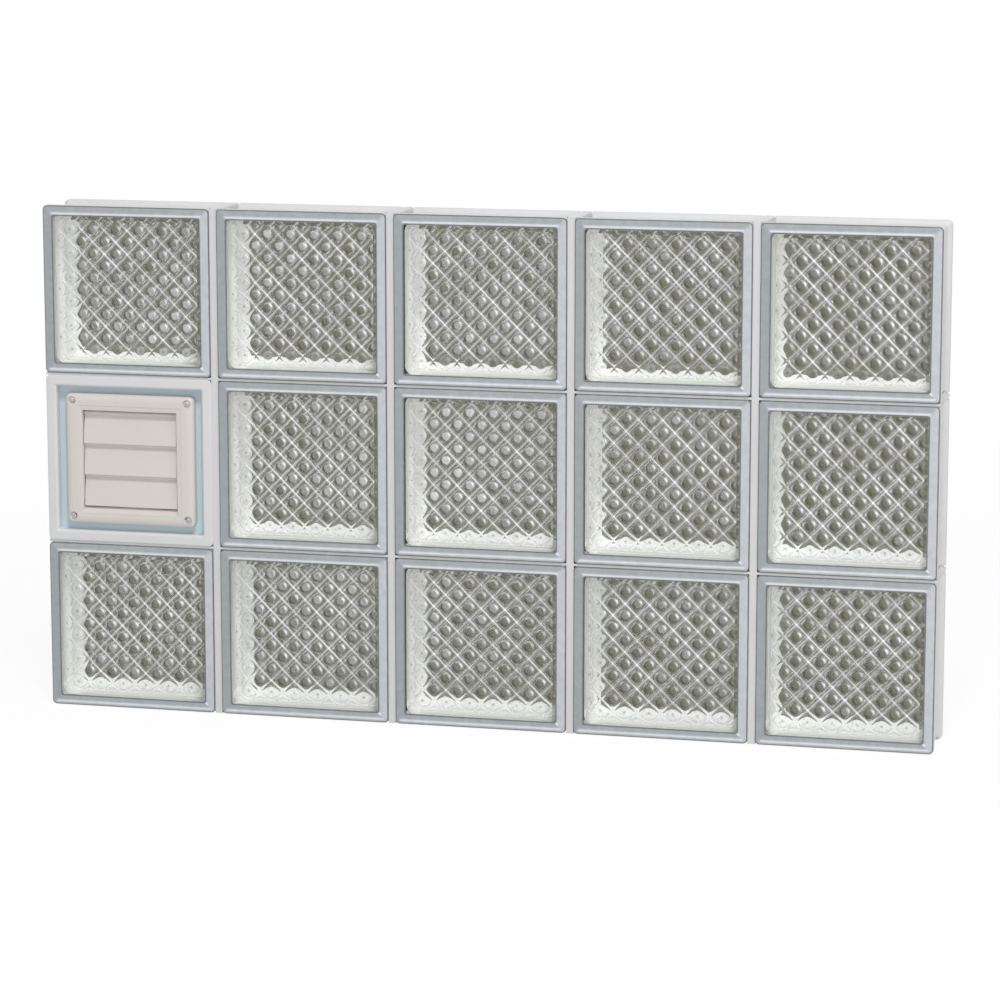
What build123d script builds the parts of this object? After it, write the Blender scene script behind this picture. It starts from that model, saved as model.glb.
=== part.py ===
from build123d import *
import os
from math import ceil, cos, radians, sqrt

# A prefabricated glass block window, five blocks wide and three high, with a louvred
# dryer vent in place of one block. Millimetres, +Z up. The origin is at the middle of
# the width and depth on the bottom edge, and the outdoor face looks along -Y.
# Each cell is drawn face up, with its outdoor face at +Z, and then stood on its edge.

# The grid of cells
ROW_NAMES = ("bottom", "middle", "top")
COLUMNS = 5
VENT_COLUMN = 0
VENT_ROW = 1
BLOCK_WIDTH = 190.5
BLOCK_HEIGHT = 184.0
BLOCK_DEPTH = 79.375
COLUMN_JOINT = 7.9375
ROW_JOINT = 2.5

# The outside of a cell: a flange round each face and a channel between them
FLANGE_THICKNESS = 10.0
CHANNEL_DEPTH = 4.0
CHANNEL_SLOPE = 4.0
CORNER_RADIUS = 5.0
WEB_CORNER_RADIUS = 1.5
EDGE_FILLET = 1.5

# The hollow inside a glass block, with rounded corners and edges as it is pressed
PANE_THICKNESS = 8.0
SIDE_WALL = 6.0
HOLLOW_CORNER_RADIUS = 12.0
HOLLOW_FILLET = 6.0

# The diamonds pressed into the inner face of each pane, tip to tip along the width
DIAMOND_PITCH = 26.4
GROOVE_DEPTH = 1.6

# The seals between the cells
SEAL_INSET = 1.5

# The vent's frame and its two panels
RIM_WIDTH = 11.5
RIM_BEVEL = 2.0
RIM_INNER_RADIUS = 2.0
PANEL_RECESS = 11.0
PANEL_THICKNESS = 3.0

# The moulded louvre cover, a shell with a deep square throat
COVER_WIDTH = 148.0
COVER_HEIGHT = 144.0
COVER_RISE = 10.5
COVER_CORNER_RADIUS = 6.0
COVER_FILLET = 4.0
COVER_SHELL = 2.4
THROAT_WIDTH = 109.0
THROAT_HEIGHT = 108.0
THROAT_WALL = 3.0
THROAT_DEPTH = 18.0
THROAT_SLIP = 0.25
SILL_DROP = 6.0
SILL_RUN = 5.5

# The louvres and their pivots
LOUVRE_NAMES = ("top", "middle", "bottom")
LOUVRE_THICKNESS = 1.6
LOUVRE_LEAN = 8.0
LOUVRE_GAP = 1.2
EDGE_LIFT = 0.8
PIVOT_INSET = 8.0
BARREL_RADIUS = 2.2
PIN_RADIUS = 1.5
PIN_CLEARANCE = 0.05
PIN_LENGTH = 2.6
STOP_START = 12.0
STOP_LENGTH = 16.0
STOP_WIDTH = 3.0
STOP_THICKNESS = 1.5
STOP_GAP = 0.3

# The round duct collar behind the louvres
DUCT_RADIUS = 50.8
DUCT_WALL = 0.8
DUCT_SLIP = 0.2
DUCT_FLANGE = 1.2
DUCT_END_INSET = 1.0

# Sizes that follow from those above
COLUMN_PITCH = BLOCK_WIDTH + COLUMN_JOINT
ROW_PITCH = BLOCK_HEIGHT + ROW_JOINT
WINDOW_HEIGHT = len(ROW_NAMES) * ROW_PITCH - ROW_JOINT
HALF_DEPTH = BLOCK_DEPTH / 2
FLANGE_BACK = HALF_DEPTH - FLANGE_THICKNESS
WEB_EDGE = FLANGE_BACK - CHANNEL_SLOPE
WEB_WIDTH = BLOCK_WIDTH - 2 * CHANNEL_DEPTH
WEB_HEIGHT = BLOCK_HEIGHT - 2 * CHANNEL_DEPTH
HOLLOW_WIDTH = WEB_WIDTH - 2 * SIDE_WALL
HOLLOW_HEIGHT = WEB_HEIGHT - 2 * SIDE_WALL
HOLLOW_REACH = HALF_DEPTH - PANE_THICKNESS
PANEL_FRONT = HALF_DEPTH - PANEL_RECESS
COVER_FRONT = PANEL_FRONT + COVER_RISE
THROAT_BACK = PANEL_FRONT - THROAT_DEPTH
PIVOT_LEVEL = COVER_FRONT - PIVOT_INSET
FIRST_PIVOT = THROAT_HEIGHT / 2 - BARREL_RADIUS - LOUVRE_GAP
LOUVRE_PITCH = (FIRST_PIVOT + THROAT_HEIGHT / 2 - LOUVRE_GAP + EDGE_LIFT) / len(LOUVRE_NAMES)
LOUVRE_REACH = (LOUVRE_PITCH - EDGE_LIFT) / cos(radians(LOUVRE_LEAN))


def column_x(column):
    """Middle of a column of cells."""
    return (column - (COLUMNS - 1) / 2) * COLUMN_PITCH


def row_z(row):
    """Middle of a row of cells."""
    return BLOCK_HEIGHT / 2 + row * ROW_PITCH


def place(shape, column, row):
    """Stand a cell drawn face up on its edge, at its place in the grid."""
    return Pos(column_x(column), 0, row_z(row)) * Rot(X=90) * shape


def slab(width, height, radius, low, high):
    """A rounded rectangle extruded between two levels."""
    return Pos(Z=low) * extrude(RectangleRounded(width, height, radius), high - low)


def plain_slab(width, height, low, high):
    """A rectangle with sharp corners extruded between two levels."""
    return Pos(Z=low) * extrude(Rectangle(width, height), high - low)


def cell_outside():
    """The outer form shared by the glass blocks and the vent's frame."""
    flange = slab(BLOCK_WIDTH, BLOCK_HEIGHT, CORNER_RADIUS, FLANGE_BACK, HALF_DEPTH)
    flange = fillet(flange.edges().group_by(Axis.Z)[-1], EDGE_FILLET)
    outer = Pos(Z=FLANGE_BACK) * RectangleRounded(BLOCK_WIDTH, BLOCK_HEIGHT, CORNER_RADIUS)
    inner = Pos(Z=WEB_EDGE) * RectangleRounded(WEB_WIDTH, WEB_HEIGHT, WEB_CORNER_RADIUS)
    slope = loft([inner, outer], ruled=True)
    web = slab(WEB_WIDTH, WEB_HEIGHT, WEB_CORNER_RADIUS, 0, WEB_EDGE)
    front_half = flange + slope + web
    return front_half + mirror(front_half, about=Plane.XY)


def groove_teeth(angle):
    """A row of V-shaped teeth over the whole pane, running at that angle across it."""
    spacing = DIAMOND_PITCH / sqrt(2)
    half_span = (HOLLOW_WIDTH + HOLLOW_HEIGHT) / sqrt(2) / 2
    count = ceil(half_span / spacing)
    root = HOLLOW_REACH - GROOVE_DEPTH
    outline = [(-count * spacing, root)]
    for number in range(-count, count):
        outline.append((number * spacing, HOLLOW_REACH))
        outline.append(((number + 0.5) * spacing, HOLLOW_REACH + GROOVE_DEPTH))
    outline.append((count * spacing, HOLLOW_REACH))
    outline.append((count * spacing, root))
    section = Plane.XZ * Polygon(*outline, align=None)
    return Rot(Z=angle) * extrude(section, count * spacing, both=True)


def pressed_diamonds():
    """Pointed diamonds, left between two crossing rows of grooves in the pane."""
    width = HOLLOW_WIDTH - 2 * HOLLOW_FILLET
    height = HOLLOW_HEIGHT - 2 * HOLLOW_FILLET
    radius = HOLLOW_CORNER_RADIUS - HOLLOW_FILLET
    low = HOLLOW_REACH - GROOVE_DEPTH
    window = slab(width, height, radius, low, HOLLOW_REACH + GROOVE_DEPTH)
    return (groove_teeth(45) + groove_teeth(-45)) & window


def glass_block():
    """A pressed glass block: two patterned panes and four walls round a sealed hollow."""
    hollow = slab(HOLLOW_WIDTH, HOLLOW_HEIGHT, HOLLOW_CORNER_RADIUS, -HOLLOW_REACH, HOLLOW_REACH)
    ends = hollow.edges().group_by(Axis.Z)
    hollow = fillet(ends[0] + ends[-1], HOLLOW_FILLET)
    diamonds = pressed_diamonds()
    return cell_outside() - hollow - diamonds - mirror(diamonds, about=Plane.XY)


def joint_profile(gap):
    """Section of the joint between two cells: thin at the flanges, wide in the channels."""
    face = HALF_DEPTH - SEAL_INSET
    half_gap = gap / 2
    half_channel = half_gap + CHANNEL_DEPTH
    right = [
        (half_gap, -face),
        (half_gap, -FLANGE_BACK),
        (half_channel, -WEB_EDGE),
        (half_channel, WEB_EDGE),
        (half_gap, FLANGE_BACK),
        (half_gap, face),
    ]
    left = [(-across, along) for across, along in reversed(right)]
    return Polygon(*right, *left, align=None)


def column_seal(boundary):
    """A seal over the window's full height, right of the column with that number."""
    middle = column_x(boundary) + COLUMN_PITCH / 2
    return Pos(X=middle) * extrude(joint_profile(COLUMN_JOINT), WINDOW_HEIGHT)


def row_seal(boundary):
    """The seal above a row, in one length per column between the column seals."""
    profile = Plane.YZ * Rot(Z=90) * joint_profile(ROW_JOINT)
    level = row_z(boundary) + ROW_PITCH / 2
    lengths = []
    for column in range(COLUMNS):
        middle = Pos(column_x(column), 0, level)
        length = middle * extrude(profile, BLOCK_WIDTH / 2, both=True)
        lengths.append(length - column_seal(column - 1) - column_seal(column))
    return Compound(children=[solid for length in lengths for solid in length.solids()])


def vent_frame():
    """A moulded frame with a block's outer form and a bevelled rim at each face."""
    width = BLOCK_WIDTH - 2 * RIM_WIDTH
    height = BLOCK_HEIGHT - 2 * RIM_WIDTH
    bore = slab(width, height, RIM_INNER_RADIUS, -HALF_DEPTH, HALF_DEPTH)
    frame = cell_outside() - bore
    mouth = Pos(Z=HALF_DEPTH) * RectangleRounded(
        width + 2 * RIM_BEVEL, height + 2 * RIM_BEVEL, RIM_INNER_RADIUS + RIM_BEVEL
    )
    throat = Pos(Z=HALF_DEPTH - RIM_BEVEL) * RectangleRounded(width, height, RIM_INNER_RADIUS)
    bevel = loft([throat, mouth], ruled=True)
    return frame - bevel - mirror(bevel, about=Plane.XY)


def vent_panel(level):
    """A plain panel that fills the vent's frame, with its outer face at that level."""
    width = BLOCK_WIDTH - 2 * RIM_WIDTH
    height = BLOCK_HEIGHT - 2 * RIM_WIDTH
    return slab(width, height, RIM_INNER_RADIUS, level - PANEL_THICKNESS, level)


def front_panel():
    """The recessed outdoor panel, cut out for the cover's throat."""
    width = THROAT_WIDTH + 2 * (THROAT_WALL + THROAT_SLIP)
    height = THROAT_HEIGHT + 2 * (THROAT_WALL + THROAT_SLIP)
    cut = plain_slab(width, height, PANEL_FRONT - PANEL_THICKNESS, PANEL_FRONT)
    return vent_panel(PANEL_FRONT) - cut


def back_panel():
    """The recessed indoor panel, bored for the duct collar."""
    bore = Pos(Z=-HALF_DEPTH) * extrude(Circle(DUCT_RADIUS + DUCT_SLIP), BLOCK_DEPTH)
    return vent_panel(PANEL_THICKNESS - PANEL_FRONT) - bore


def duct_collar():
    """A round sheet collar on a square flange that closes the back of the throat."""
    flange_width = THROAT_WIDTH + 2 * THROAT_WALL
    flange_height = THROAT_HEIGHT + 2 * THROAT_WALL
    flange = plain_slab(flange_width, flange_height, THROAT_BACK - DUCT_FLANGE, THROAT_BACK)
    end = DUCT_END_INSET - HALF_DEPTH
    tube = Pos(Z=end) * extrude(Circle(DUCT_RADIUS), THROAT_BACK - end)
    bore = Pos(Z=end) * extrude(Circle(DUCT_RADIUS - DUCT_WALL), THROAT_BACK - end)
    return flange + tube - bore


def pivot_height(number):
    """Height of a louvre's pivot above the middle of the throat."""
    return FIRST_PIVOT - number * LOUVRE_PITCH


def across(radius, length):
    """A round bar of that length across the throat, centred on the vent."""
    return extrude(Plane.YZ * Circle(radius), length / 2, both=True)


def lean(shape):
    """Turn something that hangs straight down out to the louvres' closed angle."""
    return Rot(X=-LOUVRE_LEAN) * shape


def stop_ribs(number):
    """Two ribs on the throat's side walls that a closed louvre rests against."""
    back = -LOUVRE_THICKNESS / 2 - STOP_GAP - STOP_THICKNESS / 2
    middle = -(STOP_START + STOP_LENGTH / 2)
    rib = Pos(0, middle, back) * Box(STOP_WIDTH, STOP_LENGTH, STOP_THICKNESS)
    side = (THROAT_WIDTH - STOP_WIDTH) / 2
    ribs = Pos(X=-side) * lean(rib) + Pos(X=side) * lean(rib)
    return Pos(0, pivot_height(number), PIVOT_LEVEL) * ribs


def sill():
    """The wedge that slopes the throat's lower edge outwards and down."""
    low = -THROAT_HEIGHT / 2
    section = Polygon(
        (low, COVER_FRONT - SILL_RUN),
        (low, COVER_FRONT),
        (low - SILL_DROP, COVER_FRONT),
        align=None,
    )
    return extrude(Plane.YZ * section, THROAT_WIDTH / 2, both=True)


def vent_cover():
    """The moulded cover: a rounded shell, its throat, sill, pivot holes and stops."""
    shell = slab(COVER_WIDTH, COVER_HEIGHT, COVER_CORNER_RADIUS, PANEL_FRONT, COVER_FRONT)
    shell = fillet(shell.edges().group_by(Axis.Z)[-1], COVER_FILLET)
    hollow = slab(
        COVER_WIDTH - 2 * COVER_SHELL,
        COVER_HEIGHT - 2 * COVER_SHELL,
        COVER_CORNER_RADIUS - COVER_SHELL,
        PANEL_FRONT,
        COVER_FRONT - COVER_SHELL,
    )
    outer_width = THROAT_WIDTH + 2 * THROAT_WALL
    outer_height = THROAT_HEIGHT + 2 * THROAT_WALL
    walls = plain_slab(outer_width, outer_height, THROAT_BACK, COVER_FRONT - COVER_SHELL)
    ledge_height = SILL_DROP + COVER_SHELL
    ledge = plain_slab(THROAT_WIDTH, ledge_height, PANEL_FRONT, COVER_FRONT - COVER_SHELL)
    ledge = Pos(Y=-(THROAT_HEIGHT + ledge_height) / 2) * ledge
    opening = plain_slab(THROAT_WIDTH, THROAT_HEIGHT, THROAT_BACK, COVER_FRONT)
    cover = (shell - hollow) + walls + ledge - opening - sill()
    for number in range(len(LOUVRE_NAMES)):
        hole = across(PIN_RADIUS + PIN_CLEARANCE, outer_width)
        cover -= Pos(0, pivot_height(number), PIVOT_LEVEL) * hole
        cover += stop_ribs(number)
    return cover


def louvre(number):
    """One louvre: a round-edged blade on a barrel with a pin at each end."""
    width = THROAT_WIDTH - 2 * LOUVRE_GAP
    blade = Pos(Y=-LOUVRE_REACH / 2) * Box(width, LOUVRE_REACH, LOUVRE_THICKNESS)
    blade = fillet(blade.edges().filter_by(Axis.X).group_by(Axis.Y)[0], LOUVRE_THICKNESS / 2.1)
    barrel = across(BARREL_RADIUS, width)
    pins = across(PIN_RADIUS, width + 2 * PIN_LENGTH)
    return Pos(0, pivot_height(number), PIVOT_LEVEL) * (lean(blade) + barrel + pins)


def save(shape, node):
    """Write one node of the window."""
    shape.label = node
    export_step(shape, f"parts/{node}.step")


def save_blocks():
    """Every glass block, leaving the vent's cell free."""
    block = glass_block()
    for row, row_name in enumerate(ROW_NAMES):
        for column in range(COLUMNS):
            if (column, row) != (VENT_COLUMN, VENT_ROW):
                save(place(block, column, row), f"glass_block_{row_name}_{column + 1}")


def save_seals():
    """The seals between the columns and between the rows."""
    for boundary in range(COLUMNS - 1):
        save(column_seal(boundary), f"column_seal_{boundary + 1}")
    for boundary, row_name in enumerate(ROW_NAMES[1:]):
        save(row_seal(boundary), f"row_seal_under_{row_name}")


def save_vent():
    """The vent's fixed pieces and its louvres."""
    pieces = {
        "vent_frame": vent_frame(),
        "vent_front_panel": front_panel(),
        "vent_back_panel": back_panel(),
        "duct_collar": duct_collar(),
        "vent_cover": vent_cover(),
    }
    for number, name in enumerate(LOUVRE_NAMES):
        pieces[f"louvre_{name}"] = louvre(number)
    for node, shape in pieces.items():
        save(place(shape, VENT_COLUMN, VENT_ROW), node)


os.makedirs("parts", exist_ok=True)
save_blocks()
save_seals()
save_vent()
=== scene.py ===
"""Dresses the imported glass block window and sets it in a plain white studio.

The window is a grid of pressed glass blocks, each a hollow box of clear glass with a
white coating on its outer edges, joined by pale silicone. One cell holds a moulded
dryer vent with three louvres. Lengths are in metres, the outdoor face looks along -Y,
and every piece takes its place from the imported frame.
"""

import logging
import math
from dataclasses import dataclass, field
from enum import Enum, IntEnum
from typing import Any, Sequence

import bpy
import numpy as np
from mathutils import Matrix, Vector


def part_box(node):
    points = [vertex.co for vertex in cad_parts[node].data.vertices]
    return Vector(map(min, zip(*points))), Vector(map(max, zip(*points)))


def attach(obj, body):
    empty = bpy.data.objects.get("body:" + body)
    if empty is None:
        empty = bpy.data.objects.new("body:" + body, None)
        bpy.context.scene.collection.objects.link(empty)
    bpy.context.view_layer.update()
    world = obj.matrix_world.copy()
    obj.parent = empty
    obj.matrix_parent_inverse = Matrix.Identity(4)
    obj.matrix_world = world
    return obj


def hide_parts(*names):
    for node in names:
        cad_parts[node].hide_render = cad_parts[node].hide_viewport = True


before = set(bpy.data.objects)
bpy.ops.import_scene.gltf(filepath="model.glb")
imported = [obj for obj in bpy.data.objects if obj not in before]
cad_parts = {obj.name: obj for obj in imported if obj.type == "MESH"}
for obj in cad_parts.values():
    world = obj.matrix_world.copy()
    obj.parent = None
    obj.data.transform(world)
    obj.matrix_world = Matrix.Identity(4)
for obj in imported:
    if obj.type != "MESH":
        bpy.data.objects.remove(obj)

LOG = logging.getLogger("glass_block_window")
MM = 0.001
# Index of soda-lime glass, which also serves for the coats on it.
GLASS_IOR = 1.5
# Octaves of a noise, from one broad swell to a fine mottle.
SWELL, GRAIN, CLOUD, MOTTLE = 1.0, 2.0, 3.0, 4.0
# Edges sharper than this stay crisp on a moulded piece.
CREASE_DEGREES = 32.0


def linear(hex_colour: str) -> tuple[float, float, float, float]:
    """Turn an sRGB hex colour into the linear colour that a shader takes.

    Args:
        hex_colour: Six hex digits, with or without a leading hash.

    Returns:
        Linear red, green, blue and an alpha of 1.
    """
    digits = hex_colour.lstrip("#")
    values = [int(digits[at:at + 2], 16) / 255 for at in (0, 2, 4)]
    curve = [v / 12.92 if v <= 0.04045 else ((v + 0.055) / 1.055) ** 2.4 for v in values]
    return (curve[0], curve[1], curve[2], 1.0)


def add_node(
    tree: bpy.types.NodeTree,
    kind: str,
    links: dict[str | int, Any] | None = None,
    **settings: Any,
) -> bpy.types.Node:
    """Add one node, set its properties, and fill or link its input sockets.

    Args:
        tree: The node tree that gets the node.
        kind: The node's type name.
        links: Input socket to a value, or to the output socket that feeds it.
        settings: Properties of the node itself.

    Returns:
        The new node.
    """
    node = tree.nodes.new(kind)
    for name, value in settings.items():
        setattr(node, name, value)
    for socket, value in (links or {}).items():
        if isinstance(value, bpy.types.NodeSocket):
            tree.links.new(value, node.inputs[socket])
        else:
            node.inputs[socket].default_value = value
    return node


def new_material(name: str) -> tuple[bpy.types.Material, bpy.types.NodeTree]:
    """Make an empty node material.

    Args:
        name: The material's plain name.

    Returns:
        The material and its node tree, with no nodes in it.
    """
    material = bpy.data.materials.new(name)
    material.use_nodes = True
    material.node_tree.nodes.clear()
    return material, material.node_tree


def drifting_colour(
    tree: bpy.types.NodeTree, place: bpy.types.NodeSocket, colours: Sequence[str], size: float, detail: float
) -> bpy.types.NodeSocket:
    """Drift between two near colours in soft patches.

    Args:
        tree: The material's node tree.
        place: Object coordinates, so that the patches stay on the piece.
        colours: The two hex colours.
        size: Size of a patch.
        detail: Octaves of the noise that makes the patches.

    Returns:
        The colour.
    """
    patches = add_node(tree, "ShaderNodeTexNoise", {"Vector": place, "Scale": 1 / size, "Detail": detail})
    return add_node(tree, "ShaderNodeMix", {
        "Factor": patches.outputs["Fac"], 6: linear(colours[0]), 7: linear(colours[1]),
    }, data_type="RGBA").outputs[2]


def cloudy_shade(
    tree: bpy.types.NodeTree,
    place: bpy.types.NodeSocket,
    tone: bpy.types.NodeSocket,
    shades: Sequence[str],
    size: float,
    share: float,
) -> bpy.types.NodeSocket:
    """Turn a tone into a colour, through three shades at 0, at a half and at 1.

    Soft clouds are added to the tone first: their noise, less a half, times the share.

    Args:
        tree: The material's node tree.
        place: Object coordinates, so that the clouds stay on the piece.
        tone: The tone.
        shades: The three hex colours.
        size: Size of a cloud.
        share: How far the clouds move the tone.

    Returns:
        The colour.
    """
    clouds = add_node(tree, "ShaderNodeTexNoise", {"Vector": place, "Scale": 1 / size, "Detail": CLOUD})
    drift = add_node(tree, "ShaderNodeMath", {
        0: clouds.outputs["Fac"], 1: share, 2: -share / 2,
    }, operation="MULTIPLY_ADD")
    moved = add_node(tree, "ShaderNodeMath", {0: tone, 1: drift.outputs[0]}, operation="ADD")
    ramp = add_node(tree, "ShaderNodeValToRGB", {"Fac": moved.outputs[0]})
    stops = ramp.color_ramp.elements
    stops[0].color, stops[1].color = linear(shades[0]), linear(shades[2])
    stops.new(0.5).color = linear(shades[1])
    return ramp.outputs["Color"]


class Face(Enum):
    """The two pressed faces of a block, with the sign of their direction along Y."""

    OUTDOOR = -1
    INDOOR = 1


class Skin(IntEnum):
    """The finishes of a block's faces, in the order of its materials."""

    PRESSED = 0
    COATING = 1
    RIM = 2
    WALL = 3
    WINDOW = 4


@dataclass(frozen=True)
class MouldedPlastic:
    """Injection moulded vinyl or ABS: even colour, soft sheen, a fine spark-eroded grain.

    The real grain is too fine to show, so it is drawn as coarse as it needs to be.
    """

    name: str
    colour: str
    shade: str
    roughness: float = 0.42
    roughness_swing: float = 0.05
    ior: float = 1.46
    grain_mm: float = 0.9
    grain_depth_mm: float = 0.2
    drift_mm: float = 60.0
    bump: float = 0.05

    def material(self) -> bpy.types.Material:
        """Build the material on Object coordinates, so that it stays on the piece.

        Returns:
            The material.
        """
        material, tree = new_material(self.name)
        place = add_node(tree, "ShaderNodeTexCoord").outputs["Object"]
        colours = (self.colour, self.shade)
        grain = add_node(tree, "ShaderNodeTexNoise", {
            "Vector": place, "Scale": 1 / (self.grain_mm * MM), "Detail": GRAIN,
        })
        sheen = add_node(tree, "ShaderNodeMapRange", {
            "Value": grain.outputs["Fac"],
            "To Min": self.roughness - self.roughness_swing, "To Max": self.roughness + self.roughness_swing,
        })
        bump = add_node(tree, "ShaderNodeBump", {
            "Height": grain.outputs["Fac"], "Strength": self.bump, "Distance": self.grain_depth_mm * MM,
        })
        shader = add_node(tree, "ShaderNodeBsdfPrincipled", {
            "Base Color": drifting_colour(tree, place, colours, self.drift_mm * MM, CLOUD),
            "Roughness": sheen.outputs["Result"], "Normal": bump.outputs["Normal"], "IOR": self.ior,
        })
        add_node(tree, "ShaderNodeOutputMaterial", {"Surface": shader.outputs[0]})
        return material


@dataclass(frozen=True)
class PressedGlass:
    """Soda-lime glass pressed in a mould: clear, with a fire-polished skin.

    The tone attribute is 0 on flat glass, above it on folds and below it on steep slopes,
    and carries painted light and shade. It moves the shade from dull olive at 0, a painted
    shade, to clear and faintly violet at 1, and above that a fold gets a painted highlight:
    white diffuse light glints on it. A pressed face seen through its own pane is clear with
    a strong relief, and one seen across the hollow is dull and soft, darkened by painted
    shade. The clouds are the fine waves that the mould leaves in the glass.
    """

    name: str = "pressed soda lime glass"
    # Shades of the tone: the dark one is painted shade on steep slopes and across the hollow.
    dark: str = "#2A2916"
    middle: str = "#9C9E94"
    clear: str = "#F9F9FD"
    roughness: float = 0.012
    wave_mm: float = 3.4
    wave_share: float = 0.95
    # The far face's low base tone is painted shade, and the near face stays clear.
    near_tone: float = 1.0
    near_gain: float = 1.0
    far_tone: float = 0.0
    far_gain: float = 0.5
    # Painted glint: white diffuse light mixed in where the tone is above 1, swollen by painted glare.
    glint: str = "#FFFFFF"
    glint_tones: tuple[float, float] = (1.0, 2.0)
    glare_mm: float = 38.0
    glare_noise: tuple[float, float] = (0.4, 0.6)
    glare_least: float = 0.55
    light_tint: str = "#FCFDFD"

    def tone(self, tree: bpy.types.NodeTree) -> bpy.types.NodeSocket:
        """The mesh's tone of painted light and shade, scaled and raised by the side from which a face is
        seen.

        Args:
            tree: The material's node tree.

        Returns:
            The tone.
        """
        relief = add_node(tree, "ShaderNodeAttribute", attribute_name="tone")
        side = add_node(tree, "ShaderNodeNewGeometry")
        gain = add_node(tree, "ShaderNodeMapRange", {
            "Value": side.outputs["Backfacing"], "To Min": self.far_gain, "To Max": self.near_gain,
        })
        base = add_node(tree, "ShaderNodeMapRange", {
            "Value": side.outputs["Backfacing"], "To Min": self.far_tone, "To Max": self.near_tone,
        })
        return add_node(tree, "ShaderNodeMath", {
            0: relief.outputs["Fac"], 1: gain.outputs["Result"], 2: base.outputs["Result"],
        }, operation="MULTIPLY_ADD").outputs[0]

    def glinting(
        self, tree: bpy.types.NodeTree, place: bpy.types.NodeSocket, tone: bpy.types.NodeSocket
    ) -> bpy.types.NodeSocket:
        """Share of the painted white glint, which grows with the tone and swells in broad patches of painted
        glare.

        Args:
            tree: The material's node tree.
            place: Object coordinates, so that the patches stay on the piece.
            tone: The tone.

        Returns:
            The share.
        """
        fold = add_node(tree, "ShaderNodeMapRange", {
            "Value": tone, "From Min": self.glint_tones[0], "From Max": self.glint_tones[1],
        })
        swell = add_node(tree, "ShaderNodeTexNoise", {
            "Vector": place, "Scale": 1 / (self.glare_mm * MM), "Detail": SWELL,
        })
        glare = add_node(tree, "ShaderNodeMapRange", {
            "Value": swell.outputs["Fac"], "From Min": self.glare_noise[0], "From Max": self.glare_noise[1],
            "To Min": self.glare_least,
        })
        return add_node(tree, "ShaderNodeMath", {
            0: fold.outputs["Result"], 1: glare.outputs["Result"],
        }, operation="MULTIPLY").outputs[0]

    def material(self) -> bpy.types.Material:
        """Build the glass, which lets the lamps' light through to what lies behind it.

        Returns:
            The material.
        """
        material, tree = new_material(self.name)
        place = add_node(tree, "ShaderNodeTexCoord").outputs["Object"]
        tone = self.tone(tree)
        shades = (self.dark, self.middle, self.clear)
        glass = add_node(tree, "ShaderNodeBsdfPrincipled", {
            "Base Color": cloudy_shade(tree, place, tone, shades, self.wave_mm * MM, self.wave_share),
            "Roughness": self.roughness, "IOR": GLASS_IOR, "Transmission Weight": 1.0,
        })
        # Painted glint on the folds: a white diffuse shader mixed into the glass.
        painted_glint_shader = add_node(tree, "ShaderNodeBsdfDiffuse", {"Color": linear(self.glint)})
        folded = add_node(tree, "ShaderNodeMixShader", {
            0: self.glinting(tree, place, tone), 1: glass.outputs[0], 2: painted_glint_shader.outputs[0],
        })
        path = add_node(tree, "ShaderNodeLightPath")
        lighting = add_node(tree, "ShaderNodeMath", {
            0: path.outputs["Is Shadow Ray"], 1: path.outputs["Is Diffuse Ray"],
        }, operation="MAXIMUM")
        open_way = add_node(tree, "ShaderNodeBsdfTransparent", {"Color": linear(self.light_tint)})
        surface = add_node(tree, "ShaderNodeMixShader", {
            0: lighting.outputs[0], 1: folded.outputs[0], 2: open_way.outputs[0],
        })
        add_node(tree, "ShaderNodeOutputMaterial", {"Surface": surface.outputs[0]})
        return material


@dataclass(frozen=True)
class CoatedWall:
    """The side wall of the hollow: white where the coat shows, clear from inside the glass."""

    name: str = "coated glass wall"
    colour: str = "#FDFDF8"
    shade: str = "#F4F4EC"
    through: str = "#F2F4F2"
    roughness: float = 0.18
    mottle_mm: float = 12.0

    def material(self) -> bpy.types.Material:
        """Build the wall as the coat's white, or as glass where it is met from behind.

        Returns:
            The material.
        """
        material, tree = new_material(self.name)
        place = add_node(tree, "ShaderNodeTexCoord").outputs["Object"]
        colours = (self.colour, self.shade)
        coat = add_node(tree, "ShaderNodeBsdfPrincipled", {
            "Base Color": drifting_colour(tree, place, colours, self.mottle_mm * MM, MOTTLE),
            "Roughness": self.roughness, "IOR": GLASS_IOR,
        })
        side = add_node(tree, "ShaderNodeNewGeometry")
        through = add_node(tree, "ShaderNodeBsdfTransparent", {"Color": linear(self.through)})
        surface = add_node(tree, "ShaderNodeMixShader", {
            0: side.outputs["Backfacing"], 1: coat.outputs[0], 2: through.outputs[0],
        })
        add_node(tree, "ShaderNodeOutputMaterial", {"Surface": surface.outputs[0]})
        return material


@dataclass(frozen=True)
class RimGlass:
    """The thick rim of a pressed block with the white coat close behind it.

    It is glossy and grey, and the tone attribute runs from the painted shade on its edges
    to a painted pale highlight band. Faint clouds lie along it.
    """

    name: str = "thick rim glass"
    # Shades of the tone: the dark one is painted shade, the light one a painted highlight.
    dark: str = "#4E525A"
    middle: str = "#A0A5A7"
    light: str = "#EDEFF8"
    roughness: float = 0.12
    cloud_mm: float = 7.0
    cloud_share: float = 0.16

    def material(self) -> bpy.types.Material:
        """Build the rim glass, slightly cloudy along its length.

        Returns:
            The material.
        """
        material, tree = new_material(self.name)
        place = add_node(tree, "ShaderNodeTexCoord").outputs["Object"]
        tone = add_node(tree, "ShaderNodeAttribute", attribute_name="tone").outputs["Fac"]
        shades = (self.dark, self.middle, self.light)
        shader = add_node(tree, "ShaderNodeBsdfPrincipled", {
            "Base Color": cloudy_shade(tree, place, tone, shades, self.cloud_mm * MM, self.cloud_share),
            "Roughness": self.roughness, "IOR": GLASS_IOR,
        })
        add_node(tree, "ShaderNodeOutputMaterial", {"Surface": shader.outputs[0]})
        return material


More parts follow.
